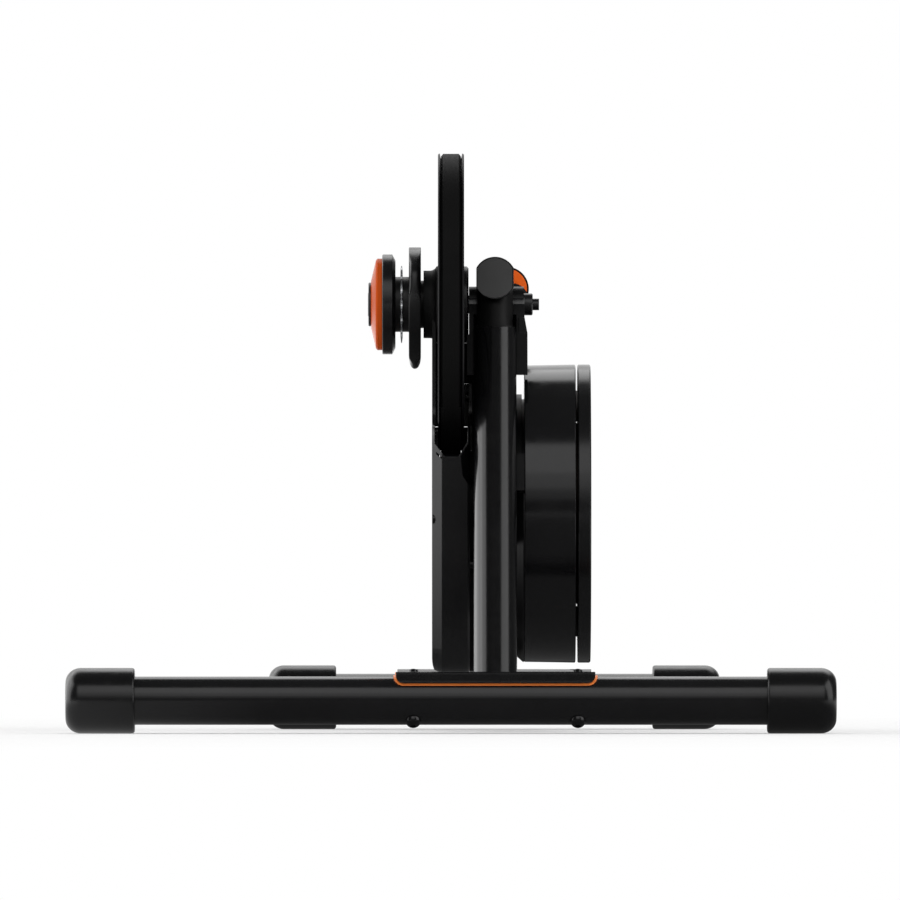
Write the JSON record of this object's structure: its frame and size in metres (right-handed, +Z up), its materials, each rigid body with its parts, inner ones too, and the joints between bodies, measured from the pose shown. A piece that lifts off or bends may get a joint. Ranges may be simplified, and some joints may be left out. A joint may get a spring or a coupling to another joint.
{
  "type": "direct drive bike trainer",
  "caption": "Wheel-off indoor bike trainer: a single cog on a freehub drives a ribbed belt to a side flywheel with an eddy-current brake, on two struts and two wide base legs",
  "frame": {"origin": "on the floor, midway between the outer ends of the feet in X and in Y", "axes": "+X from the drive side (cog) to the flywheel side, +Y from the front legs to the rear legs, +Z up"},
  "size_m": [0.623, 0.49, 0.4737],
  "materials": {
    "coated_tube": "satin black powder coat",
    "coated_strut": "semi-gloss black powder coat",
    "cast_black": "fine-textured black coat on die-cast metal",
    "foot_rubber": "moulded matt rubber",
    "grip_rubber": "moulded matt rubber with grooves",
    "belt_rubber": "dark ribbed rubber",
    "guard_plastic": "matt injection-moulded plastic",
    "guard_plastic_gloss": "smooth moulded plastic",
    "cap_plastic": "matt dark grey plastic",
    "plug_plastic": "matt black plastic",
    "orange_plastic": "bright orange smooth plastic",
    "orange_trim": "orange soft plastic",
    "pulley_black": "black anodised with turned flanges",
    "hub_anodised": "dark anodised, turned",
    "cog_steel": "ground and stamped bright steel",
    "steel": "turned steel",
    "bearing_steel": "ground bearing steel",
    "fastener_black": "black oxide steel",
    "pulley_steel": "turned steel",
    "spring_steel": "drawn spring wire",
    "arm_steel": "grey coated pressed steel",
    "flywheel_black": "satin black paint on turned cast iron",
    "copper": "enamelled copper winding",
    "ring_copper": "dull copper-lined eddy ring",
    "lamination": "stacked steel laminations",
    "board_green": "green circuit board",
    "lead_black": "soft cable sheath",
    "inlet_black": "matt plastic socket with a metal pin"
  },
  "bodies": {
    "frame": {"front_base_tube": "coated_tube", "rear_base_tube": "coated_tube", "front_drive_foot": "foot_rubber", "front_flywheel_foot": "foot_rubber", "rear_drive_foot": "foot_rubber", "rear_flywheel_foot": "foot_rubber", "front_saddle": "cast_black", "rear_saddle": "cast_black", "front_trim": "orange_trim", "rear_trim": "orange_trim", "front_leg_bolts": "fastener_black", "rear_leg_bolts": "fastener_black", "front_strut": "coated_strut", "rear_strut": "coated_strut", "handle": "cast_black", "handle_grip": "grip_rubber", "handle_cap": "cap_plastic", "end_collar": "orange_plastic", "end_plug": "plug_plastic", "main_casting": "cast_black", "shaft_bearings": "bearing_steel", "guard_drive_shell": "guard_plastic", "guard_frame_shell": "guard_plastic", "guard_screws": "fastener_black", "circuit_board": "board_green", "power_inlet": "inlet_black", "brake_lead": "lead_black", "axle": "steel", "axle_bearings": "bearing_steel", "drive_end_cap": "fastener_black", "axle_adapter": "hub_anodised", "drive_belt": "belt_rubber", "idler_pivot_bolt": "fastener_black", "idler_spring": "spring_steel", "back_cover": "cast_black", "drum_housing": "guard_plastic_gloss", "stator_core": "lamination", "brake_coils": "copper", "coil_board": "board_green"},
    "drive_wheel": {"drive_pulley": "pulley_black", "pulley_hub": "hub_anodised", "hub_bolts": "fastener_black", "one_way_clutch": "bearing_steel"},
    "cog_wheel": {"freehub_body": "steel", "cog_carrier": "guard_plastic_gloss", "cog": "cog_steel", "inner_cog_guard": "guard_plastic", "outer_cog_guard": "guard_plastic", "cog_cover": "orange_plastic", "lock_ring": "plug_plastic"},
    "flywheel": {"flywheel_shaft": "steel", "small_pulley": "pulley_steel", "small_pulley_bolt": "fastener_black", "flywheel_disc": "flywheel_black", "flywheel_ring": "ring_copper", "flywheel_bolts": "fastener_black", "flywheel_nut": "fastener_black"},
    "tensioner_arm": {"idler_arm": "arm_steel"},
    "idler": {"idler_pulley": "plug_plastic"}
  },
  "joints": [
    {"name": "pulley_spin", "type": "hinge", "parent": "frame", "child": "drive_wheel", "pos_m": [0, 0, 0.35], "axis": [1, 0, 0], "continuous": true},
    {"name": "freewheel_spin", "type": "hinge", "parent": "drive_wheel", "child": "cog_wheel", "pos_m": [0, 0, 0.35], "axis": [1, 0, 0], "continuous": true},
    {"name": "flywheel_spin", "type": "hinge", "parent": "frame", "child": "flywheel", "pos_m": [0, 0.02, 0.1785], "axis": [1, 0, 0], "continuous": true},
    {"name": "tensioner_swing", "type": "hinge", "parent": "frame", "child": "tensioner_arm", "pos_m": [0, -0.026, 0.1365], "axis": [1, 0, 0], "range_deg": [0, 8]},
    {"name": "idler_spin", "type": "hinge", "parent": "tensioner_arm", "child": "idler", "pos_m": [0, -0.05, 0.21049], "axis": [1, 0, 0], "continuous": true}
  ],
  "couplings": [
    {"joint": "pulley_spin", "follows": "flywheel_spin", "ratio": 0.17204},
    {"joint": "idler_spin", "follows": "flywheel_spin", "ratio": -1.1035}
  ]
}
